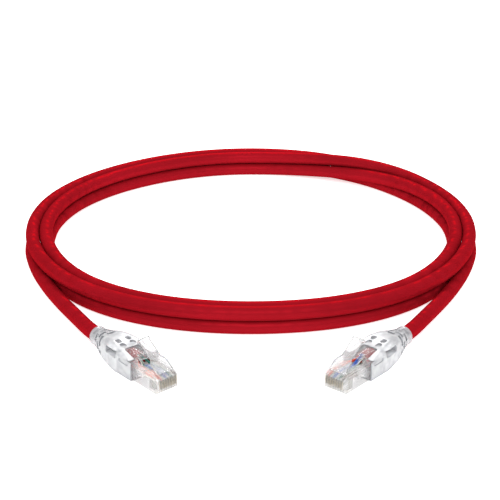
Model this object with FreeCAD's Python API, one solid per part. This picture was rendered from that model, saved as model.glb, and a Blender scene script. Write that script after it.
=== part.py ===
"""Ethernet patch cable: a round coil of jacketed cable with a booted eight-contact plug on each end.

Millimetres, +Z up, the table at z = 0. The origin lies on the table, midway between the two plugs.
The coil lies behind them, towards +Y. Each plug is drawn in its own frame first: x = 0 is the nose's
front face, +x points out of the nose, +y is the side of contact 8 and z = 0 is the table.
"""

import FreeCAD, Part
import math
import os

Vector = FreeCAD.Vector
UP = Vector(0, 0, 1)

# Cable
CABLE_OD = 5.6
JACKET_WALL = 0.55
WIRE_OD = 0.82
WIRE_RING_RADIUS = 1.7

# Coil
RING_CENTRE_Y = 118.8
RING_RADIUS = 88.7
STRAND_GAP = 0.6
QUARTERS = 15
TWIST_SLOPE = 0.039
FRONT_SHIFT = 2.0
FRONT_SLOPE = 0.07

# Places of the two plugs
NOSE_X = 27.6
NOSE_Y = -15.53
PLUG_HEADING = 49.8

# Plug housing
PLUG_LENGTH = 21.5
PLUG_WIDTH = 11.68
PLUG_HEIGHT = 6.6
NOSE_CHAMFER_LENGTH = 1.4
NOSE_CHAMFER_DEPTH = 0.9
CORNER_RADIUS = 0.4
CABLE_AXIS_RISE = 4.3
BORE_CLEARANCE = 0.15
ROOF_WIDTH = 6.2
ROOF_WALL = 0.45
CAVITY_WIDTH = 9.8
CAVITY_FLOOR_WALL = 2.0
CAVITY_ROOF_WALL = 0.5
WIRE_WINDOW_FRONT_X = -5.4
WIRE_WINDOW_REAR_X = -13.5
WIRE_WINDOW_WIDTH = 7.4
CRIMP_POCKET_LENGTH = 2.8
CRIMP_POCKET_WIDTH = 6.0
CRIMP_POCKET_DEPTH = 0.7
CRIMP_POCKET_SETBACK = 0.2

# Wires in the plug
JACKET_INSERT = 4.6
WIRE_DROP_LENGTH = 2.6
WIRE_PITCH = 1.02
WIRE_TIP_X = -0.9
CHANNEL_CLEARANCE = 0.03
# The eight wires in the order of their contacts, each with its place round the cable's section
WIRES = (
    ("white_orange", 155),
    ("orange", 214),
    ("white_green", 112),
    ("blue", 252),
    ("white_blue", 288),
    ("green", 68),
    ("white_brown", 326),
    ("brown", 25),
)
PAIRS = {
    "orange": ("white_orange", "orange"),
    "green": ("white_green", "green"),
    "blue": ("blue", "white_blue"),
    "brown": ("white_brown", "brown"),
}

# Load bar
LOAD_BAR_FRONT_X = -7.2
LOAD_BAR_LENGTH = 3.6
LOAD_BAR_HEIGHT = 2.4
LOAD_BAR_CLEARANCE = 0.1

# Contacts
BLADE_THICKNESS = 0.3
BLADE_CLEARANCE = 0.03
BLADE_FRONT_X = -0.5
BLADE_LENGTH = 4.1
BLADE_RECESS = 0.45
BLADE_NOSE_RADIUS = 0.8
TOOTH_PLACES = (0.28, 0.72)
TOOTH_BASE = 1.0
TOOTH_BITE = 0.2
COMB_SLOT_WIDTH = 0.42
COMB_SLOT_DEPTH = 1.3
COMB_SLOT_HEIGHT = 3.8

# Latch
LATCH_AXIS_X = -2.2
LATCH_AXIS_DROP = 0.4
LATCH_ANGLE = 32.0
LATCH_PRESSED_ANGLE = 12.0
LATCH_LENGTH = 14.3
LATCH_BASE_LENGTH = 4.3
LATCH_TAPER_LENGTH = 1.7
LATCH_BASE_WIDTH = 6.2
LATCH_TAB_WIDTH = 4.0
LATCH_THICKNESS = 1.0
LATCH_RECESS_LENGTH = 6.0
LATCH_RECESS_CLEARANCE = 0.08
BEAD_RADIUS = 0.6
BEAD_CLEARANCE = 0.06
LIP_LENGTH = 1.2
LIP_WIDTH = 4.7
LIP_THICKNESS = 1.5
LIP_RADIUS = 0.35

# Boot
BOOT_OVERLAP = 8.1
BOOT_SLEEVE_LENGTH = 8.0
BOOT_FLOOR_WALL = 0.25
BOOT_SIDE_WALL = 0.56
BOOT_LOW_CORNER = 0.4
BOOT_FRONT_HEIGHT = 6.7
BOOT_FRONT_CORNER = 0.8
BOOT_SLEEVE_HEIGHT = 8.3
BOOT_SLEEVE_CORNER = 2.4
BOOT_CLEARANCE = 0.05
BOOT_BORE_CLEARANCE = 0.25
LATCH_OPENING_CLEARANCE = 0.1
LATCH_OPENING_RADIUS = 1.0
# The tail's sections: distance behind the sleeve, half width, underside, top, lower and upper corner radius
BOOT_TAIL = (
    (3.6, 6.4, 0.05, 9.1, 0.6, 2.6),
    (7.1, 6.0, 0.15, 9.4, 1.2, 2.8),
    (10.6, 5.5, 0.3, 9.2, 1.9, 2.9),
    (14.1, 4.6, 0.6, 8.7, 2.6, 3.1),
    (17.1, 3.9, 1.0, 8.2, 3.3, 3.3),
    (20.9, 3.5, 1.1, 8.1, 3.3, 3.3),
)
WINDOW_START = 0.6
WINDOW_LENGTH = 6.7
WINDOW_RISE = 0.8
WINDOW_HEIGHT = 2.5
WINDOW_WALL = 0.6
WINDOW_RADIUS = 0.4
PANEL_START = 1.2
PANEL_LENGTH = 5.4
PANEL_RISE = 0.7
PANEL_HEIGHT = 1.2
PANEL_DEPTH = 0.25
TOP_POCKET_LENGTH = 2.4
TOP_POCKET_WIDTH = 2.0
TOP_POCKET_RADIUS = 0.8
TOP_POCKET_WALL = 0.65
TOP_POCKET_OFFSET = 2.1
TOP_POCKET_STARTS = (0.6, 3.5)
RIB_ROWS = 4
RIB_FIRST_ROW = 11.4
RIB_ROW_PITCH = 2.2
RIB_SLOT_LENGTH = 1.4
RIB_SLOT_WALL = 0.3
RIB_SLOTS_AROUND = 6
RIB_SLOT_ANGLE = 42.0

# Free stretch of the left lead, after the straight run out of its boot
LEAD_STRAIGHT = 33.3
LEAD_POINTS = (
    (-76.5, 54.1, 2.8),
    (-86.8, 84.1, 2.8),
)
BEND_SHARE = 0.45
HALF_TURN_STEPS = 8

# Worked out from the sizes above
CABLE_RADIUS = CABLE_OD / 2
JACKET_BORE = CABLE_RADIUS - JACKET_WALL
STRAND_PITCH = CABLE_OD + STRAND_GAP
BUNDLE_RADIUS = STRAND_PITCH / math.sqrt(2)
PLUG_UNDERSIDE = BOOT_FLOOR_WALL + BOOT_CLEARANCE
PLUG_TOP = PLUG_UNDERSIDE + PLUG_HEIGHT
PLUG_REAR_X = -PLUG_LENGTH
CABLE_AXIS = PLUG_UNDERSIDE + CABLE_AXIS_RISE
BORE_RADIUS = CABLE_RADIUS + BORE_CLEARANCE
JACKET_END_X = PLUG_REAR_X + JACKET_INSERT
BORE_FRONT_X = JACKET_END_X + WIRE_DROP_LENGTH
ROOF_TOP = CABLE_AXIS + BORE_RADIUS + ROOF_WALL
CRIMP_POCKET_FRONT_X = JACKET_END_X - CRIMP_POCKET_SETBACK
WIRE_RADIUS = WIRE_OD / 2
WIRE_ROW = [WIRE_PITCH * (number - 3.5) for number in range(8)]
LOAD_BAR_REAR_X = LOAD_BAR_FRONT_X - LOAD_BAR_LENGTH
LOAD_BAR_WIDTH = CAVITY_WIDTH - 2 * LOAD_BAR_CLEARANCE
BLADE_BOTTOM = PLUG_UNDERSIDE + BLADE_RECESS
LATCH_AXIS = Vector(LATCH_AXIS_X, 0, PLUG_TOP - LATCH_AXIS_DROP)
BOOT_FRONT_X = PLUG_REAR_X + BOOT_OVERLAP
BOOT_SLEEVE_X = BOOT_FRONT_X - BOOT_SLEEVE_LENGTH
BOOT_TAIL_X = BOOT_SLEEVE_X - BOOT_TAIL[-1][0]
BOOT_WIDTH = PLUG_WIDTH + 2 * (BOOT_CLEARANCE + BOOT_SIDE_WALL)
BOOT_BORE_RADIUS = CABLE_RADIUS + BOOT_BORE_CLEARANCE
LATCH_OPENING_WIDTH = LATCH_BASE_WIDTH + 2 * LATCH_OPENING_CLEARANCE


def box(low_x, high_x, width, low_z, high_z):
    """A block centred on y = 0."""
    return Part.makeBox(high_x - low_x, width, high_z - low_z, Vector(low_x, -width / 2, low_z))


def rod(radius, low_x, high_x, y, z):
    """A round bar along x."""
    return Part.makeCylinder(radius, high_x - low_x, Vector(low_x, y, z), Vector(1, 0, 0))


def cross_bar(radius, width, x, z):
    """A round bar along y, centred on y = 0."""
    return Part.makeCylinder(radius, width, Vector(x, -width / 2, z), Vector(0, 1, 0))


def side_prism(outline, width, y=0.0):
    """An outline of (x, z) points made solid along y, centred on y."""
    corners = [Vector(x, y - width / 2, z) for x, z in outline]
    return Part.Face(Part.makePolygon(corners + corners[:1])).extrude(Vector(0, width, 0))


def plan_prism(outline, low_z, high_z):
    """An outline of (x, y) points made solid upwards."""
    corners = [Vector(x, y, low_z) for x, y in outline]
    face = Part.Face(Part.makePolygon(corners + corners[:1]))
    return face.extrude(Vector(0, 0, high_z - low_z))


def edges_along(solid, direction, keep):
    """The straight edges that run along a direction and whose middle passes the keep test."""
    found = []
    for edge in solid.Edges:
        if len(edge.Vertexes) != 2:
            continue
        span = edge.Vertexes[1].Point - edge.Vertexes[0].Point
        along = abs(span.dot(direction)) > 0.999 * span.Length
        if along and keep(edge.CenterOfMass):
            found.append(edge)
    return found


# Route pieces: a straight is (start, end), a bend is (centre, axis, degrees, start)


def bend_between(start, corner, end):
    """The arc that leaves start towards corner and reaches end, both the same way from the corner."""
    way_in = (corner - start).normalize()
    way_out = (end - corner).normalize()
    turn = math.degrees(way_in.getAngle(way_out))
    if turn < 1e-6:
        return (start, end)
    axis = way_in.cross(way_out).normalize()
    radius = (corner - start).Length / math.tan(math.radians(turn / 2))
    return (start + axis.cross(way_in) * radius, axis, turn, start)


def biarc(start, start_way, end, end_way):
    """Two arcs that join start to end and leave both along the ways given."""
    span = end - start
    ways = start_way + end_way
    spread = 2 * (1 - start_way.dot(end_way))
    along = span.dot(ways)
    if spread < 1e-9:
        reach = span.dot(span) / (2 * along)
    else:
        reach = (math.sqrt(along * along + spread * span.dot(span)) - along) / spread
    first = start + start_way * reach
    second = end - end_way * reach
    middle = (first + second) * 0.5
    return [bend_between(start, first, middle), bend_between(middle, second, end)]


def rounded(points):
    """Straight runs joined by arcs, each as large as its two runs allow."""
    pieces = []
    here = points[0]
    radii = []
    for before, corner, after in zip(points, points[1:], points[2:]):
        way_in = (corner - before).normalize()
        way_out = (after - corner).normalize()
        shorter = min((corner - before).Length, (after - corner).Length)
        reach = BEND_SHARE * shorter
        entry = corner - way_in * reach
        leave = corner + way_out * reach
        pieces.append((here, entry))
        pieces.append(bend_between(entry, corner, leave))
        radii.append(reach / math.tan(way_in.getAngle(way_out) / 2))
        here = leave
    pieces.append((here, points[-1]))
    return pieces, radii


def turned(point, piece, share=1.0):
    """A point or way carried along a bend, by a share of its angle."""
    centre, axis, degrees, _ = piece
    return centre + FreeCAD.Rotation(axis, degrees * share).multVec(point - centre)


def piece_start(piece):
    return piece[0] if len(piece) == 2 else piece[3]


def piece_end(piece):
    return piece[1] if len(piece) == 2 else turned(piece[3], piece)


def piece_length(piece):
    if len(piece) == 2:
        return (piece[1] - piece[0]).Length
    return (piece[3] - piece[0]).Length * math.radians(piece[2])


def offset_route(pieces, offset):
    """The route of a wire that lies beside the cable's centre line and isn't twisted round it."""
    moved = []
    for piece in pieces:
        if len(piece) == 2:
            moved.append((piece[0] + offset, piece[1] + offset))
            continue
        start = piece[3] + offset
        moved.append((*piece[:3], start))
        offset = turned(start, piece) - piece_end(piece)
    return moved


def half_turn(start, end, offset):
    """A wire that goes half way round the cable's middle beside a straight run."""
    run = end - start
    way = FreeCAD.Vector(run).normalize()
    nodes = []
    for number in range(HALF_TURN_STEPS + 1):
        share = number / HALF_TURN_STEPS
        eased = share * share * (3 - 2 * share)
        quickness = math.pi * 6 * share * (1 - share) / run.Length
        place = FreeCAD.Rotation(way, 180 * eased).multVec(offset)
        nodes.append((start + run * share + place, (way + way.cross(place) * quickness).normalize()))
    pieces = []
    for (here, here_way), (there, there_way) in zip(nodes, nodes[1:]):
        pieces += biarc(here, here_way, there, there_way)
    return pieces


def route_wire(pieces):
    """The route's pieces as one wire of edges."""
    edges = []
    for piece in pieces:
        if len(piece) == 2:
            edges.append(Part.LineSegment(piece[0], piece[1]).toShape())
        else:
            start = piece[3]
            edges.append(Part.Arc(start, turned(start, piece, 0.5), turned(start, piece)).toShape())
    return Part.Wire(edges)


def start_way(pieces):
    """The way in which a route leaves its first point."""
    first = pieces[0]
    if len(first) == 2:
        return (first[1] - first[0]).normalize()
    return first[1].cross(first[3] - first[0]).normalize()


def sweep(pieces, radius):
    """A round bar along a route."""
    start = piece_start(pieces[0])
    circle = Part.Wire(Part.makeCircle(radius, start, start_way(pieces)))
    return route_wire(pieces).makePipeShell([circle], True, False)


def hose(pieces, name):
    """The cable's jacket along a route, hollow from end to end."""
    tube = sweep(pieces, CABLE_RADIUS).cut(sweep(pieces, JACKET_BORE))
    length = sum(piece_length(piece) for piece in pieces)
    section = math.pi * (CABLE_RADIUS**2 - JACKET_BORE**2)
    share = tube.Volume / (section * length)
    print(f"{name}: {length:.1f} mm long, volume {share:.4f} of its section times its length")
    return tube


# The coil


def bundle_place(quarter):
    """Which part of the ring a quarter of the coil starts at, and how far the bundle has turned there."""
    angle = 225 - 90 * quarter
    turn = (quarter - 1) // 4
    station = (quarter - 1) % 4
    eighths = min(station, 2)
    return angle, turn, station, -45 - 90 * turn - 45 * eighths


def coil_node(quarter):
    """A point of the coil and its way there.

    The four turns lie as a square bundle. Over the two quarters at the back right the bundle turns by
    a quarter about its own middle, so each turn comes round one place further on, and the last one
    ends on the table again, at the outside.
    """
    angle, turn, station, slot = bundle_place(quarter)
    theta = math.radians(angle)
    phi = math.radians(slot)
    out = Vector(math.cos(theta), math.sin(theta), 0)
    round_way = Vector(math.sin(theta), -math.cos(theta), 0)
    radial = BUNDLE_RADIUS * math.cos(phi)
    slope = 0.0
    rise = 0.0
    if station == 1:
        height = CABLE_RADIUS + BUNDLE_RADIUS * (1 + math.sin(phi))
        slope = TWIST_SLOPE * math.sin(phi)
        rise = -TWIST_SLOPE * math.cos(phi)
    else:
        height = CABLE_RADIUS + STRAND_PITCH / 2 + BUNDLE_RADIUS * math.sin(phi)
    if turn == 0 and station >= 2:
        radial += FRONT_SHIFT
        slope = FRONT_SLOPE if station == 2 else -FRONT_SLOPE
    point = Vector(0, RING_CENTRE_Y, 0) + out * (RING_RADIUS + radial) + UP * height
    return point, (round_way + out * slope + UP * rise).normalize()


def coil_route(first, first_way, last, last_way):
    """The coil's line: straight for one cable diameter at each end, a biarc a quarter turn between."""
    stub = CABLE_OD
    nodes = [(first + first_way * stub, first_way)]
    nodes += [coil_node(quarter) for quarter in range(1, QUARTERS)]
    nodes.append((last - last_way * stub, last_way))
    pieces = [(first, nodes[0][0])]
    for (start, way), (end, end_way) in zip(nodes, nodes[1:]):
        pieces += biarc(start, way, end, end_way)
    pieces.append((nodes[-1][0], last))
    return pieces


def route_points(pieces, step):
    """Points along a route, each with its distance from the start."""
    found = []
    gone = 0.0
    for piece in pieces:
        length = piece_length(piece)
        count = max(1, round(length / step))
        for number in range(count):
            share = number / count
            if len(piece) == 2:
                point = piece[0] + (piece[1] - piece[0]) * share
            else:
                point = turned(piece[3], piece, share)
            found.append((gone + length * share, point))
        gone += length
    return found


def least_gap(pieces, diameter):
    """The least space that a wound tube leaves to itself, measured between points of its line."""
    points = route_points(pieces, 1.0)
    cell = 2 * diameter
    cells = {}
    for distance, point in points:
        key = tuple(math.floor(value / cell) for value in point)
        cells.setdefault(key, []).append((distance, point))
    least = math.inf
    for distance, point in points:
        x, y, z = (math.floor(value / cell) for value in point)
        around = [(x + i, y + j, z + k) for i in (-1, 0, 1) for j in (-1, 0, 1) for k in (-1, 0, 1)]
        for key in around:
            for other_distance, other in cells.get(key, ()):
                if other_distance - distance > 4 * cell:
                    least = min(least, (other - point).Length)
    return least - diameter


# Plug pieces, each in the plug's own frame


def contact_outline():
    """A contact blade from the side: a round-nosed foot below and two teeth that bite the wire above."""
    front = BLADE_FRONT_X
    rear = BLADE_FRONT_X - BLADE_LENGTH
    shoulder = CABLE_AXIS - WIRE_RADIUS - CHANNEL_CLEARANCE
    tip = CABLE_AXIS + TOOTH_BITE
    half = TOOTH_BASE / 2
    outline = [(front, BLADE_BOTTOM + BLADE_NOSE_RADIUS), (front, shoulder)]
    for share in TOOTH_PLACES:
        centre = front - BLADE_LENGTH * share
        outline += [(centre + half, shoulder), (centre, tip), (centre - half, shoulder)]
    outline += [(rear, shoulder), (rear, BLADE_BOTTOM)]
    outline.append((front - BLADE_NOSE_RADIUS, BLADE_BOTTOM))
    return outline


def contact_blades(thickness):
    outline = contact_outline()
    return [side_prism(outline, thickness, y) for y in WIRE_ROW]


def wire_holes(low_x, high_x):
    """Eight round ways for the wires, side by side."""
    radius = WIRE_RADIUS + CHANNEL_CLEARANCE
    return [rod(radius, low_x, high_x, y, CABLE_AXIS) for y in WIRE_ROW]


def latch_recess():
    """The wedge below the pressed tab, behind the groove that holds its bead."""
    lean = math.radians(LATCH_PRESSED_ANGLE)
    under = LATCH_THICKNESS / 2 + LATCH_RECESS_CLEARANCE
    start_x = LATCH_AXIS.x - under * math.sin(lean)
    start_z = LATCH_AXIS.z - under * math.cos(lean)
    end_x = start_x - LATCH_RECESS_LENGTH * math.cos(lean)
    end_z = start_z + LATCH_RECESS_LENGTH * math.sin(lean)
    outline = [(start_x, start_z), (end_x, end_z), (start_x, end_z)]
    return side_prism(outline, LATCH_OPENING_WIDTH)


def plug_housing():
    """The clear body, open at the rear for the cable, above the wires and below the nose."""
    body = box(PLUG_REAR_X, 0, PLUG_WIDTH, PLUG_UNDERSIDE, PLUG_TOP)
    body = body.cut(
        side_prism(
            [
                (-NOSE_CHAMFER_LENGTH, PLUG_TOP),
                (0, PLUG_TOP - NOSE_CHAMFER_DEPTH),
                (0, PLUG_TOP + 1),
                (-NOSE_CHAMFER_LENGTH, PLUG_TOP + 1),
            ],
            PLUG_WIDTH,
        )
    )
    long_edges = edges_along(body, Vector(1, 0, 0), lambda point: True)
    body = body.makeFillet(CORNER_RADIUS, long_edges)
    roof = box(PLUG_REAR_X, BORE_FRONT_X + ROOF_WALL, ROOF_WIDTH, CABLE_AXIS, ROOF_TOP)
    roof_edges = edges_along(roof, Vector(1, 0, 0), lambda point: point.z > PLUG_TOP)
    body = body.fuse(roof.makeFillet(CORNER_RADIUS, roof_edges))
    hollows = [
        rod(BORE_RADIUS, PLUG_REAR_X - 1, BORE_FRONT_X, 0, CABLE_AXIS),
        box(
            PLUG_REAR_X - 1,
            LOAD_BAR_REAR_X,
            CAVITY_WIDTH,
            PLUG_UNDERSIDE + CAVITY_FLOOR_WALL,
            PLUG_TOP - CAVITY_ROOF_WALL,
        ),
        box(
            LOAD_BAR_REAR_X - 1,
            LOAD_BAR_FRONT_X + LOAD_BAR_CLEARANCE,
            CAVITY_WIDTH,
            CABLE_AXIS - LOAD_BAR_HEIGHT / 2 - LOAD_BAR_CLEARANCE,
            CABLE_AXIS + LOAD_BAR_HEIGHT / 2 + LOAD_BAR_CLEARANCE,
        ),
        box(
            WIRE_WINDOW_REAR_X,
            WIRE_WINDOW_FRONT_X,
            WIRE_WINDOW_WIDTH,
            CABLE_AXIS + LOAD_BAR_HEIGHT / 2 + LOAD_BAR_CLEARANCE,
            PLUG_TOP + 1,
        ),
        box(
            CRIMP_POCKET_FRONT_X - CRIMP_POCKET_LENGTH,
            CRIMP_POCKET_FRONT_X,
            CRIMP_POCKET_WIDTH,
            PLUG_UNDERSIDE - 1,
            PLUG_UNDERSIDE + CRIMP_POCKET_DEPTH,
        ),
        cross_bar(BEAD_RADIUS + BEAD_CLEARANCE, LATCH_OPENING_WIDTH, LATCH_AXIS.x, LATCH_AXIS.z),
        latch_recess(),
    ]
    hollows += wire_holes(LOAD_BAR_FRONT_X, WIRE_TIP_X + CHANNEL_CLEARANCE)
    comb_top = PLUG_UNDERSIDE + COMB_SLOT_HEIGHT
    for y in WIRE_ROW:
        comb = box(-COMB_SLOT_DEPTH, 1, COMB_SLOT_WIDTH, PLUG_UNDERSIDE - 1, comb_top)
        pocket = box(
            BLADE_FRONT_X - BLADE_LENGTH - BLADE_CLEARANCE,
            BLADE_FRONT_X + BLADE_CLEARANCE,
            BLADE_THICKNESS + 2 * BLADE_CLEARANCE,
            PLUG_UNDERSIDE - 1,
            CABLE_AXIS + TOOTH_BITE + BLADE_CLEARANCE,
        )
        hollows += [comb.translate(Vector(0, y, 0)), pocket.translate(Vector(0, y, 0))]
    return body.cut(hollows)


def load_bar():
    """The small guide that holds the eight wires in line."""
    bar = box(
        LOAD_BAR_REAR_X,
        LOAD_BAR_FRONT_X,
        LOAD_BAR_WIDTH,
        CABLE_AXIS - LOAD_BAR_HEIGHT / 2,
        CABLE_AXIS + LOAD_BAR_HEIGHT / 2,
    )
    return bar.cut(wire_holes(LOAD_BAR_REAR_X - 1, LOAD_BAR_FRONT_X + 1))


def ring_place(degrees):
    """Where a wire lies in the cable's section, as a plug-frame offset from the cable's axis."""
    angle = math.radians(degrees)
    return Vector(0, math.cos(angle), math.sin(angle)) * WIRE_RING_RADIUS


def plug_wire(number, degrees):
    """One wire from the end of the jacket, through the load bar, to the nose."""
    ahead = Vector(1, 0, 0)
    start = Vector(JACKET_END_X, 0, CABLE_AXIS) + ring_place(degrees)
    entry = Vector(LOAD_BAR_REAR_X, WIRE_ROW[number], CABLE_AXIS)
    tip = Vector(WIRE_TIP_X, WIRE_ROW[number], CABLE_AXIS)
    wire = sweep(biarc(start, ahead, entry, ahead) + [(entry, tip)], WIRE_RADIUS)
    return wire.cut(contact_blades(BLADE_THICKNESS)[number])


def latch():
    """The locking tab: a round root bead in its groove, a wide base, a narrower tab and a thumb lip."""
    flat_top = LATCH_THICKNESS / 2
    shoulder = -LATCH_BASE_LENGTH
    neck = shoulder - LATCH_TAPER_LENGTH
    half_sides = (
        (0, LATCH_BASE_WIDTH / 2),
        (shoulder, LATCH_BASE_WIDTH / 2),
        (neck, LATCH_TAB_WIDTH / 2),
        (-LATCH_LENGTH, LATCH_TAB_WIDTH / 2),
    )
    outline = list(half_sides) + [(x, -y) for x, y in half_sides[::-1]]
    plate = plan_prism(outline, -flat_top, flat_top)
    lip = box(
        -LATCH_LENGTH,
        -LATCH_LENGTH + LIP_LENGTH,
        LIP_WIDTH,
        flat_top - LIP_THICKNESS,
        flat_top,
    )
    lip_edges = edges_along(lip, Vector(0, 1, 0), lambda point: True)
    lip = lip.makeFillet(LIP_RADIUS, lip_edges)
    bead = cross_bar(BEAD_RADIUS, LATCH_BASE_WIDTH, 0, 0)
    solid = plate.fuse([lip, bead]).removeSplitter()
    solid.rotate(Vector(0, 0, 0), Vector(0, 1, 0), LATCH_ANGLE)
    return solid.translate(LATCH_AXIS)


def corner_points(x, side, level, half_width, edge_z, radius):
    """A rounded corner of a boot section: its start on the side, its middle and its end on the flat."""
    slant = radius * (1 - math.sqrt(0.5))
    return (
        Vector(x, side * half_width, edge_z - level * radius),
        Vector(x, side * (half_width - slant), edge_z - level * slant),
        Vector(x, side * (half_width - radius), edge_z),
    )


def boot_section(x, half_width, low, high, low_corner, high_corner):
    """A rounded rectangle across the boot, with one corner radius below and another above."""
    corners = (
        corner_points(x, 1, 1, half_width, high, high_corner),
        corner_points(x, -1, 1, half_width, high, high_corner)[::-1],
        corner_points(x, -1, -1, half_width, low, low_corner),
        corner_points(x, 1, -1, half_width, low, low_corner)[::-1],
    )
    edges = []
    for corner, following in zip(corners, corners[1:] + corners[:1]):
        edges.append(Part.Arc(*corner).toShape())
        edges.append(Part.LineSegment(corner[2], following[0]).toShape())
    return Part.Wire(edges)


def boot_outside():
    """The boot's outer form: a straight sleeve, then a hump that narrows to the tail's end."""
    half_width = BOOT_WIDTH / 2
    front = boot_section(
        BOOT_FRONT_X, half_width, 0, BOOT_FRONT_HEIGHT, BOOT_LOW_CORNER, BOOT_FRONT_CORNER
    )
    rear = boot_section(
        BOOT_SLEEVE_X, half_width, 0, BOOT_SLEEVE_HEIGHT, BOOT_LOW_CORNER, BOOT_SLEEVE_CORNER
    )
    tail = [rear] + [boot_section(BOOT_SLEEVE_X - behind, *form) for behind, *form in BOOT_TAIL]
    return Part.makeLoft([front, rear], True, True).fuse(Part.makeLoft(tail, True, False))


def boot_pockets():
    """The recesses that thin the boot: side windows, side panels and two pairs on top of the hump."""
    cuts = []
    half_width = BOOT_WIDTH / 2
    for side in (-1, 1):
        window = Part.makeBox(
            WINDOW_LENGTH,
            half_width,
            WINDOW_HEIGHT,
            Vector(
                BOOT_SLEEVE_X - WINDOW_START - WINDOW_LENGTH,
                BOOT_BORE_RADIUS + WINDOW_WALL,
                CABLE_AXIS + WINDOW_RISE,
            ),
        )
        panel = Part.makeBox(
            PANEL_LENGTH,
            half_width,
            PANEL_HEIGHT,
            Vector(
                BOOT_FRONT_X - PANEL_START - PANEL_LENGTH,
                half_width - PANEL_DEPTH,
                CABLE_AXIS + PANEL_RISE,
            ),
        )
        for cut in (window, panel):
            upright = edges_along(cut, Vector(0, 1, 0), lambda point: True)
            cut = cut.makeFillet(WINDOW_RADIUS, upright)
            if side < 0:
                cut = cut.mirror(Vector(0, 0, 0), Vector(0, 1, 0))
            cuts.append(cut)
        for behind in TOP_POCKET_STARTS:
            pocket = box(
                BOOT_SLEEVE_X - behind - TOP_POCKET_LENGTH,
                BOOT_SLEEVE_X - behind,
                TOP_POCKET_WIDTH,
                CABLE_AXIS + BOOT_BORE_RADIUS + TOP_POCKET_WALL,
                2 * BOOT_SLEEVE_HEIGHT,
            )
            upright = edges_along(pocket, UP, lambda point: True)
            pocket = pocket.makeFillet(TOP_POCKET_RADIUS, upright)
            cuts.append(pocket.translate(Vector(0, side * TOP_POCKET_OFFSET, 0)))
    return cuts


def boot_ribs():
    """The staggered slots that let the tail bend: rings of short slots, each ring half a slot round."""
    cuts = []
    step = 360 / RIB_SLOTS_AROUND
    for row in range(RIB_ROWS):
        x = BOOT_SLEEVE_X - RIB_FIRST_ROW - row * RIB_ROW_PITCH
        outer = Part.makeCylinder(
            BOOT_WIDTH, RIB_SLOT_LENGTH, Vector(0, 0, 0), Vector(-1, 0, 0), RIB_SLOT_ANGLE
        )
        inner = Part.makeCylinder(
            BOOT_BORE_RADIUS + RIB_SLOT_WALL,
            3 * RIB_SLOT_LENGTH,
            Vector(RIB_SLOT_LENGTH, 0, 0),
            Vector(-1, 0, 0),
        )
        slot = outer.cut(inner)
        for number in range(RIB_SLOTS_AROUND):
            cut = slot.copy()
            turn = step * (number + row / 2) + RIB_SLOT_ANGLE / 2
            cut.rotate(Vector(0, 0, 0), Vector(1, 0, 0), turn)
            cuts.append(cut.translate(Vector(x, 0, CABLE_AXIS)))
    return cuts


def boot():
    """The strain-relief boot: a sleeve round the plug's rear, a hump and a slotted tail round the cable."""
    shell = BOOT_CLEARANCE
    opening = box(
        BOOT_SLEEVE_X,
        BOOT_FRONT_X + 1,
        LATCH_OPENING_WIDTH,
        PLUG_TOP - 1,
        2 * BOOT_SLEEVE_HEIGHT,
    )
    rear_corners = edges_along(opening, UP, lambda point: point.x < BOOT_FRONT_X)
    hollows = [
        box(
            PLUG_REAR_X - shell,
            BOOT_FRONT_X + 1,
            PLUG_WIDTH + 2 * shell,
            PLUG_UNDERSIDE - shell,
            PLUG_TOP + shell,
        ),
        box(PLUG_REAR_X - shell, BOOT_FRONT_X, ROOF_WIDTH + 2 * shell, CABLE_AXIS, ROOF_TOP + shell),
        opening.makeFillet(LATCH_OPENING_RADIUS, rear_corners),
        rod(BOOT_BORE_RADIUS, BOOT_TAIL_X - 1, BOOT_FRONT_X, 0, CABLE_AXIS),
    ]
    return boot_outside().cut(hollows + boot_pockets() + boot_ribs())


# Places


def plug_placement(side):
    """The left plug (side -1) points right and forwards, the right one (side 1) left and forwards."""
    heading = -PLUG_HEADING if side < 0 else PLUG_HEADING - 180
    turn = FreeCAD.Rotation(UP, heading)
    return FreeCAD.Placement(Vector(side * NOSE_X, NOSE_Y, 0), turn)


def placed(solid, place):
    """A copy of a piece, carried from the plug's own frame to its place."""
    moved = solid.copy()
    moved.Placement = place.multiply(solid.Placement)
    return moved


def lead_points(side):
    """The lead's chosen points, from the end of the jacket in the plug to the coil."""
    place = plug_placement(side)
    jacket_end = place.multVec(Vector(JACKET_END_X, 0, CABLE_AXIS))
    straight_end = place.multVec(Vector(JACKET_END_X - LEAD_STRAIGHT, 0, CABLE_AXIS))
    free = [Vector(-side * x, y, z) for x, y, z in LEAD_POINTS]
    return [jacket_end, straight_end, *free]


def export(name, solids):
    """Writes one node, which may be a group of separate solids."""
    shape = solids[0] if len(solids) == 1 else Part.makeCompound(solids)
    for solid in shape.Solids:
        if not solid.isValid():
            print(f"{name}: a solid isn't valid")
    print(f"{name}: {len(shape.Solids)} solid(s), {shape.Volume:.2f} mm3")
    shape.exportStep(f"parts/{name}.step")


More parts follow.
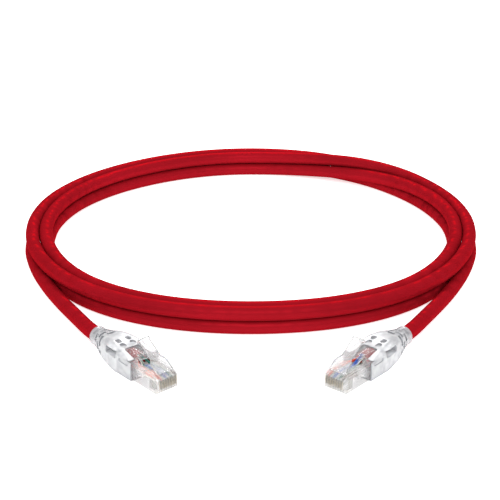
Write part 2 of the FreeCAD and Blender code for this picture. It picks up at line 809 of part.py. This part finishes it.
def main():
    os.makedirs("parts", exist_ok=True)
    pieces = {
        "plug_housing": [plug_housing()],
        "latch": [latch()],
        "contacts": contact_blades(BLADE_THICKNESS),
        "load_bar": [load_bar()],
        "boot": [boot()],
    }
    for side, end in ((-1, "left"), (1, "right")):
        place = plug_placement(side)
        for name, solids in pieces.items():
            export(f"{end}_{name}", [placed(solid, place) for solid in solids])
        for number, (colour, degrees) in enumerate(WIRES):
            wire = plug_wire(number, -side * degrees)
            export(f"{end}_wire_{colour}", [placed(wire, place)])

    left_points = lead_points(-1)
    right_points = lead_points(1)
    left_lead, radii = rounded(left_points)
    right_lead, _ = rounded(right_points[::-1])
    right_lead_start = right_points[-1]
    left_way = (left_points[-1] - left_points[-2]).normalize()
    right_way = (right_points[-2] - right_points[-1]).normalize()
    coil = coil_route(left_points[-1], left_way, right_lead_start, right_way)
    print("lead bend radii:", [round(radius, 1) for radius in radii])
    coil_radii = [(piece[3] - piece[0]).Length for piece in coil if len(piece) == 4]
    print(f"coil arc radii: {min(coil_radii):.1f} to {max(coil_radii):.1f}")
    print(f"coil's least gap to itself: {least_gap(coil, CABLE_OD):.2f}")
    export("left_lead", [hose(left_lead, "left_lead")])
    export("cable_coil", [hose(coil, "cable_coil")])
    export("right_lead", [hose(right_lead, "right_lead")])

    first = left_lead[0]
    whole = left_lead[1:] + coil + right_lead
    turn = plug_placement(-1).Rotation
    places = dict(WIRES)
    for colour, members in PAIRS.items():
        routes = []
        for name in members:
            offset = turn.multVec(ring_place(places[name]))
            routes.append(half_turn(*first, offset) + offset_route(whole, -offset))
        export(f"pair_{colour}", [sweep(route, WIRE_RADIUS) for route in routes])


main()
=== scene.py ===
"""The looks of a coiled ethernet patch cable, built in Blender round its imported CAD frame."""

# %% [markdown]
# An ethernet patch cable is a soft round cable with a clear plug on each end. The construction is
# already there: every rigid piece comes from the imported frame, at its real place and size, in metres.
# This lesson gives those pieces their finish, lays the cable as one smooth curve and lights it all.

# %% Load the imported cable
import math

import bpy
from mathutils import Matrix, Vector


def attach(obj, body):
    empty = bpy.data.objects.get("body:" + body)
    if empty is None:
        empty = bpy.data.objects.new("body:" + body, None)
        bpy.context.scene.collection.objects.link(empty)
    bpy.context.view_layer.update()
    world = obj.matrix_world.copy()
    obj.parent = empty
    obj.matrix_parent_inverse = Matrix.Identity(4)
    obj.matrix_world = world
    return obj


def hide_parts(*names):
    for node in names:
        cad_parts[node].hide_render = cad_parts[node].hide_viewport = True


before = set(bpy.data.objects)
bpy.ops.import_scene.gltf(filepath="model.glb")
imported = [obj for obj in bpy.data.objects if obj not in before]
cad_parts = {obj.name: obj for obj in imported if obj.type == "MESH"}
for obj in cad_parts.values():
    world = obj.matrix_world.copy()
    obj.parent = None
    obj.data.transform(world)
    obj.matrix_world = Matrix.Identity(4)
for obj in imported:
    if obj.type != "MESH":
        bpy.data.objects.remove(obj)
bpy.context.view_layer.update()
bpy.ops.object.select_all(action="DESELECT")
MM = 0.001
print("pieces from the frame:", len(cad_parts))


# %% [markdown]
# The camera goes first, because everything after it is judged through it. The photograph was taken
# from in front and a little above, with a long lens, so the ring of cable looks like a flat ellipse.

# %% Camera
CAMERA_PLACE = Vector((-0.35, -407.9, 215.0)) * MM
CAMERA_TARGET = Vector((-0.35, 107.2, 0)) * MM
LENS_MM = 95.05
SENSOR_MM = 36
NEAREST_M = 0.01
FURTHEST_M = 20

line_of_sight = CAMERA_TARGET - CAMERA_PLACE
bpy.ops.object.camera_add(location=CAMERA_PLACE)
camera = bpy.context.object
camera.name = "photo_camera"
camera.rotation_euler = line_of_sight.to_track_quat("-Z", "Y").to_euler()
camera.data.lens = LENS_MM
camera.data.sensor_width = SENSOR_MM
camera.data.clip_start = NEAREST_M
camera.data.clip_end = FURTHEST_M
bpy.context.scene.camera = camera
bpy.context.scene.view_settings.view_transform = "Standard"
looks_down = math.degrees(math.asin(-line_of_sight.z / line_of_sight.length))
print("camera looks down by", round(looks_down, 1), "degrees")


# %% [markdown]
# The two plugs are the same plug turned to two places. A point given in the plug's own frame, with x
# out of the nose and z up from the table, is carried to its place by one small function. The cable's
# line and the plugs' finishes are both set out with it. All its lengths are in millimetres.

# %% Places of the plugs
NOSE_X = 27.6
NOSE_Y = -15.53
HEADING = math.radians(49.8)
CABLE_AXIS = 4.6
BOOT_TAIL_X = -42.3


def plug_point(side, x, y=0.0, z=CABLE_AXIS):
    """A point of the left (side -1) or right (side 1) plug's own frame, in the row frame, in mm."""
    ahead = Vector((-side * math.cos(HEADING), -math.sin(HEADING), 0))
    across = Vector((math.sin(HEADING), -side * math.cos(HEADING), 0))
    return Vector((side * NOSE_X, NOSE_Y, z)) + ahead * x + across * y


print("left boot ends at", [round(value, 1) for value in plug_point(-1, BOOT_TAIL_X)])


# %% [markdown]
# The cable is one soft tube, so it is one curve from the end of its jacket in the left plug to the end
# in the right one. A NURBS curve of order 3 bends as smoothly as vinyl does. Its points are few: three
# keep it straight in the boot, four lay the free stretch on the table, and the coil has 24 a turn.
#
# In the coil the four turns lie as two on two. While the cable goes round the back, the whole bundle
# turns by a quarter, so that each pass comes round one place further on. In front only three turns
# lie, because the two ends leave there, and the lowest one slips forward under the upper outer one.
# At the sides the lower outer turn is tucked in a little, so that the upper one shows all its width.
# A hand-wound ring is never quite an ellipse, so a small wave goes round it, the same for every turn.
# Lengths are in millimetres. Angles are in degrees, and the way gone round the coil starts at its left.

# %% Values of the route
CABLE_OD = 5.6
TURN_PITCH = 5.65
RING_CENTRE = Vector((0, 117.6, 0))
RING_RADIUS_X = 89.9
RING_RADIUS_Y = 88.9
COIL_FIRST = 7.5
COIL_LAST = 1252.5
COIL_STEP = 15.0
QUARTER_COUNT = 4
QUARTER_FROM = 95.0
QUARTER_LENGTH = 70.0
FRONT_FROM = 48.0
FRONT_LENGTH = 22.0
FRONT_SHIFT = 5.5
FRONT_SAG = 0.7
INNER_SPREAD = 1.2
OUTER_TUCK = 0.8
THREEFOLD_WAVE = 0.4
FOURFOLD_WAVE = 0.3
FIVEFOLD_WAVE = 0.525
PLUG_RUN = (-16.9, -32.0, -46.0)
LEAD_POINTS = (
    (-63.7, 33.0, 3.2),
    (-76.0, 55.5, 2.8),
    (-86.6, 80.5, 2.8),
    (-92.6, 104.0, 2.8),
)
print("the ring is about", 2 * RING_RADIUS_X, "by", 2 * RING_RADIUS_Y, "mm at the middle of its turns")


# %% Points of the route


def eased(value):
    """A share from 0 to 1 that starts and ends gently."""
    share = min(max(value, 0.0), 1.0)
    return share * share * (3 - 2 * share)


def ring_wave(angle):
    """How far the whole bundle strays from its ellipse, in mm."""
    wave = FIVEFOLD_WAVE * math.sin(5 * angle) - THREEFOLD_WAVE * math.sin(3 * angle)
    return wave - FOURFOLD_WAVE * math.cos(4 * angle)


def coil_point(gone):
    """A control point of the coil, at an angle gone clockwise from the left side, in degrees."""
    angle = math.radians(180 - gone)
    passing = round((gone - 270) / 360)
    quarters = 0
    for number in range(QUARTER_COUNT):
        quarters += eased((gone - QUARTER_FROM - 360 * number) / QUARTER_LENGTH)

    # The pass lies at this angle round the middle of the bundle, which rises while it turns
    slot = math.radians(-45 - 90 * quarters)
    reach = TURN_PITCH / math.sqrt(2)
    lift = math.sin(math.radians(45 + 90 * (quarters % 1)))
    radial = reach * math.cos(slot) + ring_wave(angle)
    radial -= INNER_SPREAD * max(0, -math.cos(slot)) * max(0, -math.sin(slot))
    radial -= OUTER_TUCK * max(0, math.cos(slot)) * max(0, -math.sin(slot))
    height = CABLE_OD / 2 + reach * (math.sin(slot) + lift)

    # In front the bundle is looser
    from_front = abs(gone - 360 * passing - 270)
    in_front = 1 - eased((from_front - FRONT_FROM) / FRONT_LENGTH)
    if passing == 0:
        radial += FRONT_SHIFT * in_front
    if passing == 1:
        height -= FRONT_SAG * in_front

    # A curve of order 3 touches the middles of its control lines, so the points stand a little outside
    outside = 1 / math.cos(math.radians(COIL_STEP / 2))
    return RING_CENTRE + Vector(
        (
            (RING_RADIUS_X + radial) * outside * math.cos(angle),
            (RING_RADIUS_Y + radial) * outside * math.sin(angle),
            height,
        )
    )


left_run = [plug_point(-1, x) for x in PLUG_RUN] + [Vector(point) for point in LEAD_POINTS]
right_run = [Vector((-point.x, point.y, point.z)) for point in reversed(left_run)]
coil_count = round((COIL_LAST - COIL_FIRST) / COIL_STEP) + 1
coil_run = [coil_point(COIL_FIRST + COIL_STEP * number) for number in range(coil_count)]
route = left_run + coil_run + right_run
print("control points of the cable:", len(route))


# %% Lay the cable
bpy.ops.curve.primitive_nurbs_path_add()
cable = bpy.context.object
cable.name = "cable_jacket"
cable.data.splines.clear()
line = cable.data.splines.new("NURBS")
line.points.add(len(route) - 1)
for spline_point, place in zip(line.points, route):
    spline_point.co = (*(place * MM), 1)
line.order_u = 3
line.use_endpoint_u = True
line.resolution_u = 8
cable.data.dimensions = "3D"
cable.data.bevel_mode = "ROUND"
cable.data.bevel_depth = CABLE_OD / 2 * MM
cable.data.bevel_resolution = 6
cable.data.use_fill_caps = True
print("cable laid,", CABLE_OD, "mm thick")


# %% [markdown]
# A small set of helpers serves every material. Colours are picked as sRGB hex values, as a paint
# program shows them, and one function turns them to the linear values that the renderer works with.
# Another adds a node with its settings, its plain values and its links, whatever its kind. A noise on
# Object coordinates is scaled by how many of its clouds fit in a metre, so a third turns a size in
# millimetres into that.

# %% Helpers for materials


def linear(hex_colour):
    """A hex colour such as A8141E, made linear."""
    parts = [int(hex_colour[start : start + 2], 16) / 255 for start in (0, 2, 4)]
    return [part / 12.92 if part <= 0.04045 else ((part + 0.055) / 1.055) ** 2.4 for part in parts] + [1]


def per_metre(size_mm):
    """How many of a size in mm fit in a metre."""
    return 1 / (size_mm * MM)


def add_node(tree, kind, values=None, links=None, **settings):
    """Adds a node. Settings are its own, values go to its inputs, and links join outputs to inputs."""
    made = tree.nodes.new(kind)
    for name, value in settings.items():
        setattr(made, name, value)
    for name, value in (values or {}).items():
        made.inputs[name].default_value = value
    for name, source in (links or {}).items():
        tree.links.new(source, made.inputs[name])
    return made


def new_material(name):
    """An empty material and its node tree."""
    material = bpy.data.materials.new(name)
    material.use_nodes = True
    material.node_tree.nodes.clear()
    return material, material.node_tree


def set_surface(tree, shader):
    """Joins a shader to the material's output."""
    add_node(tree, "ShaderNodeOutputMaterial", links={"Surface": shader.outputs[0]})


def dress(piece, material):
    """Gives a piece its material."""
    piece.data.materials.clear()
    piece.data.materials.append(material)


print("a noise with clouds of 2.5 mm has a scale of", per_metre(2.5))


# %% [markdown]
# The jacket is soft PVC, extruded over the twisted pairs in a glossy satin red. Extrusion leaves it
# smooth, but bending packs the vinyl into soft cross ripples. In the photograph they are strongest at
# the left and right bend and faint in front and behind, so the distance from the middle sets them.
# The ripples run across the cable, so they follow the curve's own UV map, where U runs along it. A
# turn round the cable counts as less than its real 17.6 mm, which stretches them across.
# Its gloss is as red as its body: the pigment lies so near the surface that a little tinted metallic
# reflection comes nearer to the photograph than the white gloss of a plain plastic.

# %% Jacket patterns
JACKET_RED = linear("9C1420")
JACKET_DEEP = linear("88111A")
JACKET_SHEEN = linear("F02436")
CABLE_LENGTH_M = 2.2
RIPPLE_MM = 5.0
GIRTH_MM = 8.0
PATCH_MM = 40.0
GRAIN_MM = 1 / 3

jacket, tree = new_material("extruded_soft_pvc")
coordinates = add_node(tree, "ShaderNodeTexCoord")
split = add_node(tree, "ShaderNodeSeparateXYZ", links={"Vector": coordinates.outputs["UV"]})
along = add_node(
    tree,
    "ShaderNodeMath",
    operation="MULTIPLY",
    values={1: CABLE_LENGTH_M / MM},
    links={0: split.outputs["X"]},
)
around = add_node(
    tree,
    "ShaderNodeMath",
    operation="MULTIPLY",
    values={1: GIRTH_MM},
    links={0: split.outputs["Y"]},
)
spread = add_node(
    tree,
    "ShaderNodeCombineXYZ",
    links={"X": along.outputs[0], "Y": around.outputs[0]},
)
ripples = add_node(
    tree,
    "ShaderNodeTexNoise",
    noise_dimensions="2D",
    values={"Scale": 1 / RIPPLE_MM, "Detail": 0.0},
    links={"Vector": spread.outputs[0]},
)
patches = add_node(
    tree,
    "ShaderNodeTexNoise",
    noise_dimensions="2D",
    values={"Scale": 1 / PATCH_MM, "Detail": 1.0},
    links={"Vector": spread.outputs[0]},
)
grain = add_node(
    tree,
    "ShaderNodeTexNoise",
    values={"Scale": per_metre(GRAIN_MM), "Detail": 1.0},
    links={"Vector": coordinates.outputs["Object"]},
)
print("ripples are", RIPPLE_MM, "mm apart")


# %% Jacket relief
STRAIGHT_TO_M = 0.05
BENT_FROM_M = 0.08
FAINT_RIPPLES = 0.25
RIPPLE_RELIEF_M = 0.0024
GRAIN_RELIEF_M = 0.00005

place = add_node(tree, "ShaderNodeSeparateXYZ", links={"Vector": coordinates.outputs["Object"]})
aside = add_node(tree, "ShaderNodeMath", operation="ABSOLUTE", links={0: place.outputs["X"]})
bent = add_node(
    tree,
    "ShaderNodeMapRange",
    values={"From Min": STRAIGHT_TO_M, "From Max": BENT_FROM_M, "To Min": FAINT_RIPPLES},
    links={"Value": aside.outputs[0]},
)
ripple_bump = add_node(
    tree,
    "ShaderNodeBump",
    values={"Distance": RIPPLE_RELIEF_M},
    links={"Height": ripples.outputs[0], "Strength": bent.outputs[0]},
)
fine_bump = add_node(
    tree,
    "ShaderNodeBump",
    values={"Strength": 0.15, "Distance": GRAIN_RELIEF_M},
    links={"Height": grain.outputs[0], "Normal": ripple_bump.outputs[0]},
)
print("ripples are full from", BENT_FROM_M, "m to either side")


# %% Jacket surface
tint = add_node(
    tree,
    "ShaderNodeMix",
    data_type="RGBA",
    values={"A": JACKET_RED, "B": JACKET_DEEP},
    links={"Factor": patches.outputs[0]},
)
rough = add_node(
    tree,
    "ShaderNodeMapRange",
    values={"From Min": 0.3, "From Max": 0.7, "To Min": 0.36, "To Max": 0.46},
    links={"Value": grain.outputs[0]},
)
set_surface(
    tree,
    add_node(
        tree,
        "ShaderNodeBsdfPrincipled",
        values={"Metallic": 0.22, "Specular IOR Level": 0.0, "Specular Tint": JACKET_SHEEN},
        links={
            "Base Color": tint.outputs["Result"],
            "Roughness": rough.outputs[0],
            "Normal": fine_bump.outputs[0],
        },
    ),
)
dress(cable, jacket)
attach(cable, "cable")
print("jacket made of", len(tree.nodes), "nodes")


# %% [markdown]
# The plug bodies and their tabs are injection-moulded polycarbonate. Every edge bends the light, and
# the edges get a painted grey shade while flats show bright. The moulder leaves a small radius on each
# edge, and flow marks give the surface a slight unevenness. The plastic is thin enough to let part of
# the light straight through, which an alpha below one stands for. Its index of refraction is kept below
# the real 1.58, so that the wires and contacts inside stay as readable as they are in the photograph.
# Light meets more plastic along an edge, so less of it gets through there, and the colour there is
# painted grey as shade, so every outline shows as a grey line. An edge is where the softened normal
# leans away from the face's own, so that the product of the two falls below one.

# %% Clear plastic
CLEAR_TINT = linear("FFFFFF")
# The edge grey is painted shade for the outlines of the clear plastic
PAINTED_EDGE_GREY = linear("7C8084")
CLEAR_IOR = 1.3
MOULDED_EDGE_M = 0.00025
EDGE_FROM = 0.8
FLAT_FROM = 0.99
FLOW_MARK_MM = 20 / 7
FLOW_RELIEF_M = 0.0001


def clear_plastic(name, roughness, wave, density):
    """Moulded clear plastic, more or less even and dense."""
    material, tree = new_material(name)
    place = add_node(tree, "ShaderNodeTexCoord")
    edges = add_node(tree, "ShaderNodeBevel", samples=16, values={"Radius": MOULDED_EDGE_M})
    flat = add_node(
        tree,
        "ShaderNodeVectorMath",
        operation="DOT_PRODUCT",
        links={0: edges.outputs[0], 1: place.outputs["Normal"]},
    )
    evenness = add_node(
        tree,
        "ShaderNodeMapRange",
        values={"From Min": EDGE_FROM, "From Max": FLAT_FROM},
        links={"Value": flat.outputs["Value"]},
    )
    # Painted shade: the colour turns grey along the edges
    tint = add_node(
        tree,
        "ShaderNodeMix",
        data_type="RGBA",
        values={"A": PAINTED_EDGE_GREY, "B": CLEAR_TINT},
        links={"Factor": evenness.outputs[0]},
    )
    solid = add_node(
        tree,
        "ShaderNodeMapRange",
        values={"To Min": 1.0, "To Max": density},
        links={"Value": evenness.outputs[0]},
    )
    clear = add_node(
        tree,
        "ShaderNodeMapRange",
        values={"To Min": 0.3, "To Max": 0.86},
        links={"Value": evenness.outputs[0]},
    )
    flow = add_node(
        tree,
        "ShaderNodeTexNoise",
        values={"Scale": per_metre(FLOW_MARK_MM), "Detail": 2.0},
        links={"Vector": place.outputs["Object"]},
    )
    bump = add_node(
        tree,
        "ShaderNodeBump",
        values={"Strength": wave, "Distance": FLOW_RELIEF_M},
        links={"Height": flow.outputs[0], "Normal": edges.outputs[0]},
    )
    shader = add_node(
        tree,
        "ShaderNodeBsdfPrincipled",
        values={"Roughness": roughness, "IOR": CLEAR_IOR, "Specular IOR Level": 0.2},
        links={
            "Base Color": tint.outputs["Result"],
            "Transmission Weight": clear.outputs[0],
            "Alpha": solid.outputs[0],
            "Normal": bump.outputs[0],
        },
    )
    set_surface(tree, shader)
    return material


housing_plastic = clear_plastic(
    "moulded_clear_polycarbonate", roughness=0.08, wave=0.05, density=0.57
)
tab_plastic = clear_plastic(
    "moulded_clear_polycarbonate_tab", roughness=0.1, wave=0.08, density=0.95
)
bar_plastic = clear_plastic(
    "moulded_clear_polycarbonate_bar", roughness=0.12, wave=0.3, density=0.4
)
print("clear plastics made with an index of refraction of", CLEAR_IOR)


# %% [markdown]
# The contacts are stamped phosphor bronze. Only their edges, which touch the jack, are plated with
# gold. The stamped flats stay bronze. A flat faces across the plug, so how far a face is turned that
# way says which of the two it is. Between the ribs the flats are painted pale: bronze with painted
# light from the gold beside them. The outermost two face the side wall alone, and there the photograph
# shows a dark olive, painted on as shade. A metal keeps the default IOR, and its colour is that of its
# reflection.

# %% Gold plate
# The pale bronze holds painted light from the gold, and the dark olive is painted shade
PALE_LIT_BRONZE = linear("D2CCBA")
SHADED_OUTER_BRONZE = linear("4A442E")
GOLD = linear("D9BE88")
OUTER_FLAT_MM = 3.6
POLISH_MARK_MM = 0.4


def plated_bronze(name, side):
    """Bronze with gold on the blades' edges and painted light and shade on the flats, for one plug."""
    material, tree = new_material(name)
    place = add_node(tree, "ShaderNodeTexCoord")
    across_plug = plug_point(side, 0, 1) - plug_point(side, 0, 0)
    across = add_node(
        tree,
        "ShaderNodeVectorMath",
        operation="DOT_PRODUCT",
        values={1: across_plug},
        links={0: place.outputs["Normal"]},
    )
    from_nose = add_node(
        tree,
        "ShaderNodeVectorMath",
        operation="SUBTRACT",
        values={1: plug_point(side, 0) * MM},
        links={0: place.outputs["Object"]},
    )
    aside = add_node(
        tree,
        "ShaderNodeVectorMath",
        operation="DOT_PRODUCT",
        values={1: across_plug / MM},
        links={0: from_nose.outputs[0]},
    )
    distance = add_node(tree, "ShaderNodeMath", operation="ABSOLUTE", links={0: aside.outputs["Value"]})
    outermost = add_node(
        tree,
        "ShaderNodeMath",
        operation="GREATER_THAN",
        values={1: OUTER_FLAT_MM},
        links={0: distance.outputs[0]},
    )
    # Painted shade on the outermost flats, painted light on the flats between the ribs
    bronze = add_node(
        tree,
        "ShaderNodeMix",
        data_type="RGBA",
        values={"A": PALE_LIT_BRONZE, "B": SHADED_OUTER_BRONZE},
        links={"Factor": outermost.outputs[0]},
    )
    flat = add_node(tree, "ShaderNodeMath", operation="ABSOLUTE", links={0: across.outputs["Value"]})
    colour = add_node(
        tree,
        "ShaderNodeMix",
        data_type="RGBA",
        values={"A": GOLD},
        links={"Factor": flat.outputs[0], "B": bronze.outputs["Result"]},
    )
    marks = add_node(
        tree,
        "ShaderNodeTexNoise",
        values={"Scale": per_metre(POLISH_MARK_MM), "Detail": 1.0},
        links={"Vector": place.outputs["Object"]},
    )
    polish = add_node(
        tree,
        "ShaderNodeMapRange",
        values={"To Min": 0.2, "To Max": 0.38},
        links={"Value": marks.outputs[0]},
    )
    shader = add_node(
        tree,
        "ShaderNodeBsdfPrincipled",
        values={"Metallic": 1.0},
        links={"Base Color": colour.outputs["Result"], "Roughness": polish.outputs[0]},
    )
    set_surface(tree, shader)
    return material


contact_metal = {
    "left": plated_bronze("left_gold_plated_bronze", -1),
    "right": plated_bronze("right_gold_plated_bronze", 1),
}
print("flats are dark from", OUTER_FLAT_MM, "mm to either side of a plug's middle")


# %% [markdown]
# Each wire is copper in a thin coat of solid polyethylene, waxy and slightly see-through. Four are
# plain and four are white with a stripe in their partner's colour. The stripe is printed along the
# wire, and here it shows on the upper and the lower side.

# %% Wire insulation
WHITE_INSULATION = linear("E9E6DC")
WAX_CLOUD_MM = 5 / 3
STRIPE_FROM = 0.78
STRIPE_FULL = 0.84


def insulation(name, colour, striped):
    """Polyethylene in one colour, or white with a stripe of it."""
    material, tree = new_material(name)
    place = add_node(tree, "ShaderNodeTexCoord")
    shade = add_node(
        tree,
        "ShaderNodeTexNoise",
        values={"Scale": per_metre(WAX_CLOUD_MM)},
        links={"Vector": place.outputs["Object"]},
    )
    polish = add_node(
        tree,
        "ShaderNodeMapRange",
        values={"To Min": 0.3, "To Max": 0.45},
        links={"Value": shade.outputs[0]},
    )
    shader = add_node(
        tree,
        "ShaderNodeBsdfPrincipled",
        values={"Base Color": linear(colour), "IOR": 1.5},
        links={"Roughness": polish.outputs[0]},
    )
    if striped:
        facing = add_node(tree, "ShaderNodeSeparateXYZ", links={"Vector": place.outputs["Normal"]})
        upright = add_node(
            tree,
            "ShaderNodeMath",
            operation="ABSOLUTE",
            links={0: facing.outputs["Z"]},
        )
        edge = add_node(
            tree,
            "ShaderNodeMapRange",
            values={"From Min": STRIPE_FROM, "From Max": STRIPE_FULL},
            links={"Value": upright.outputs[0]},
        )
        stripe = add_node(
            tree,
            "ShaderNodeMix",
            data_type="RGBA",
            values={"A": WHITE_INSULATION, "B": linear(colour)},
            links={"Factor": edge.outputs[0]},
        )
        tree.links.new(stripe.outputs["Result"], shader.inputs["Base Color"])
    set_surface(tree, shader)
    return material


WIRE_COLOURS = {"orange": "DE4A1C", "green": "0B6152", "blue": "1F4FA8", "brown": "4A2A1A"}
wire_materials = {}
for colour, value in WIRE_COLOURS.items():
    wire_materials[f"wire_{colour}"] = insulation(f"{colour}_polyethylene", value, False)
    wire_materials[f"wire_white_{colour}"] = insulation(f"white_{colour}_polyethylene", value, True)
print("insulations made:", len(wire_materials))


# %% [markdown]
# The boots are soft PVC without pigment: milky, a little grey, and glossy. Light goes into them and
# comes out scattered, so thick walls look white. Recesses get a painted grey shade from an ambient
# occlusion node, and thin walls are painted grey as shade for the dark inside behind them. The wall
# grows from the tail to the plug, and so does the distance of its skin from the cable's axis: 3.3 mm
# counts as thin and 4.4 mm as thick. Both boots mirror each other's place, so one reckoning with the
# absolute x serves both. Clouds of grey stand for what the milky plastic shows of its own inside. All
# edges are softly rounded by the mould.

# %% Clouds and painted recess shade of the boots
CLOUD_MM = 2.5
RECESS_M = 0.0025

milky, tree = new_material("moulded_milky_pvc")
place = add_node(tree, "ShaderNodeTexCoord")
cloud = add_node(
    tree,
    "ShaderNodeTexNoise",
    values={"Scale": per_metre(CLOUD_MM), "Detail": 1.0},
    links={"Vector": place.outputs["Object"]},
)
# Ambient occlusion greys the recesses: painted shade
hollow = add_node(tree, "ShaderNodeAmbientOcclusion", samples=8, values={"Distance": RECESS_M})
shade = add_node(
    tree,
    "ShaderNodeMapRange",
    values={"From Min": 0.45, "From Max": 0.95},
    links={"Value": hollow.outputs["AO"]},
)
print("a recess counts up to", RECESS_M, "m away")


# %% Painted shade of the boots' thin walls
THIN_WALL_MM = 3.3
THICK_WALL_MM = 4.4

along_plug = plug_point(1, 1) - plug_point(1, 0)
spot = add_node(tree, "ShaderNodeSeparateXYZ", links={"Vector": place.outputs["Object"]})
half = add_node(tree, "ShaderNodeMath", operation="ABSOLUTE", links={0: spot.outputs["X"]})
mirrored = add_node(
    tree,
    "ShaderNodeCombineXYZ",
    links={"X": half.outputs[0], "Y": spot.outputs["Y"], "Z": spot.outputs["Z"]},
)
from_nose = add_node(
    tree,
    "ShaderNodeVectorMath",
    operation="SUBTRACT",
    values={1: plug_point(1, 0) * MM},
    links={0: mirrored.outputs[0]},
)
round_cable = add_node(
    tree,
    "ShaderNodeVectorMath",
    operation="CROSS_PRODUCT",
    values={1: along_plug},
    links={0: from_nose.outputs[0]},
)
from_cable = add_node(
    tree, "ShaderNodeVectorMath", operation="LENGTH", links={0: round_cable.outputs[0]}
)
# Thin walls turn grey: painted shade for the dark inside
thick = add_node(
    tree,
    "ShaderNodeMapRange",
    values={"From Min": THIN_WALL_MM * MM, "From Max": THICK_WALL_MM * MM, "To Min": 0.1},
    links={"Value": from_cable.outputs["Value"]},
)
print("walls are white from", THICK_WALL_MM, "mm off the cable's axis")


# %% Surface of the boots
# The grey is painted shade for recesses and thin walls
BOOT_SHADE_GREY = linear("BCBEC2")
BOOT_WHITE = linear("F0F1F3")
BOOT_EDGE_M = 0.0002
BOOT_RELIEF_M = 0.0001
SCATTER_M = 0.0015

lit = add_node(
    tree, "ShaderNodeMath", operation="MINIMUM", links={0: shade.outputs[0], 1: thick.outputs[0]}
)
streaks = add_node(
    tree,
    "ShaderNodeMapRange",
    values={"From Min": 0.35, "From Max": 0.6, "To Min": 0.5},
    links={"Value": cloud.outputs[0]},
)
# Painted shade of recesses and thin walls, times the random clouds
shade_and_clouds = add_node(
    tree, "ShaderNodeMath", operation="MULTIPLY", links={0: lit.outputs[0], 1: streaks.outputs[0]}
)
body_colour = add_node(
    tree,
    "ShaderNodeMix",
    data_type="RGBA",
    values={"A": BOOT_SHADE_GREY, "B": BOOT_WHITE},
    links={"Factor": shade_and_clouds.outputs[0]},
)
edges = add_node(tree, "ShaderNodeBevel", samples=4, values={"Radius": BOOT_EDGE_M})
bump = add_node(
    tree,
    "ShaderNodeBump",
    values={"Strength": 0.2, "Distance": BOOT_RELIEF_M},
    links={"Height": cloud.outputs[0], "Normal": edges.outputs[0]},
)
set_surface(
    tree,
    add_node(
        tree,
        "ShaderNodeBsdfPrincipled",
        values={
            "Roughness": 0.25,
            "IOR": 1.4,
            "Transmission Weight": 0.45,
            "Subsurface Weight": 0.3,
            "Subsurface Radius": (1, 1, 1),
            "Subsurface Scale": SCATTER_M,
            "Alpha": 0.85,
        },
        links={"Base Color": body_colour.outputs["Result"], "Normal": bump.outputs[0]},
    ),
)
print("milky plastic made of", len(tree.nodes), "nodes")


# %% [markdown]
# Every node of the frame that shows gets its finish by its name. The nodes of the jacket and of the
# pairs in it don't, because the one curve stands for them.

# %% Dress the frame's pieces
FINISHES = {
    "plug_housing": housing_plastic,
    "latch": tab_plastic,
    "load_bar": bar_plastic,
    "boot": milky,
    **wire_materials,
}
for end in ("left", "right"):
    for piece_name, finish in FINISHES.items():
        dress(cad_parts[f"{end}_{piece_name}"], finish)
    dress(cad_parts[f"{end}_contacts"], contact_metal[end])
print("finishes for each end:", len(FINISHES) + 1)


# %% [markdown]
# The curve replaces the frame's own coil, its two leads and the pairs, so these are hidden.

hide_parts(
    "cable_coil", "left_lead", "right_lead", "pair_orange", "pair_green", "pair_blue", "pair_brown"
)


# %% [markdown]
# A pale floor that glows a little, like a light table, and two soft panels: a small one behind the
# ring and a larger one in front. The room is white overhead and darker near the horizon, so that the
# sides of the clear and glossy pieces have something to show.

# %% Floor
FLOOR_M = 12
FLOOR_GLOW = 0.65
PAPER_WHITE = linear("FAFAFA")

bpy.ops.mesh.primitive_plane_add(size=FLOOR_M)
floor = bpy.context.object
floor.name = "floor"
paper, tree = new_material("white_paper_sweep")
set_surface(
    tree,
    add_node(
        tree,
        "ShaderNodeBsdfPrincipled",
        values={
            "Base Color": PAPER_WHITE,
            "Roughness": 0.9,
            "Specular IOR Level": 0.1,
            "Emission Color": (1, 1, 1, 1),
            "Emission Strength": FLOOR_GLOW,
        },
    ),
)
floor.data.materials.append(paper)
print("floor laid,", FLOOR_M, "m wide")


# %% Lights
# Name, place, target and size in metres, and power in watts
LIGHTS = (
    ("back_panel", (0.0, 0.9, 0.72), (0, 0.12, 0), 0.3, 5.0),
    ("front_panel", (0.0, -0.9, 0.85), (0, 0.1, 0), 0.5, 5.5),
)
for name, place, target, size, power in LIGHTS:
    bpy.ops.object.light_add(type="AREA", location=place)
    panel = bpy.context.object
    panel.name = name
    panel.rotation_euler = (Vector(target) - Vector(place)).to_track_quat("-Z", "Y").to_euler()
    panel.data.size = size
    panel.data.energy = power
    panel.visible_camera = False
    print(name, "is", size, "m wide")


# %% Room
HORIZON_GLOW = 0.3
OVERHEAD_GLOW = 1.1
OVERHEAD_FROM = 0.5

world = bpy.data.worlds.new("white_room")
bpy.context.scene.world = world
world.use_nodes = True
tree = world.node_tree
sky = add_node(tree, "ShaderNodeTexCoord")
height = add_node(tree, "ShaderNodeSeparateXYZ", links={"Vector": sky.outputs["Generated"]})
glow = add_node(
    tree,
    "ShaderNodeMapRange",
    values={"From Max": OVERHEAD_FROM, "To Min": HORIZON_GLOW, "To Max": OVERHEAD_GLOW},
    links={"Value": height.outputs["Z"]},
)
tree.links.new(glow.outputs[0], tree.nodes["Background"].inputs["Strength"])
tree.nodes["Background"].inputs["Color"].default_value = (1, 1, 1, 1)
print("room glows from", HORIZON_GLOW, "to", OVERHEAD_GLOW)
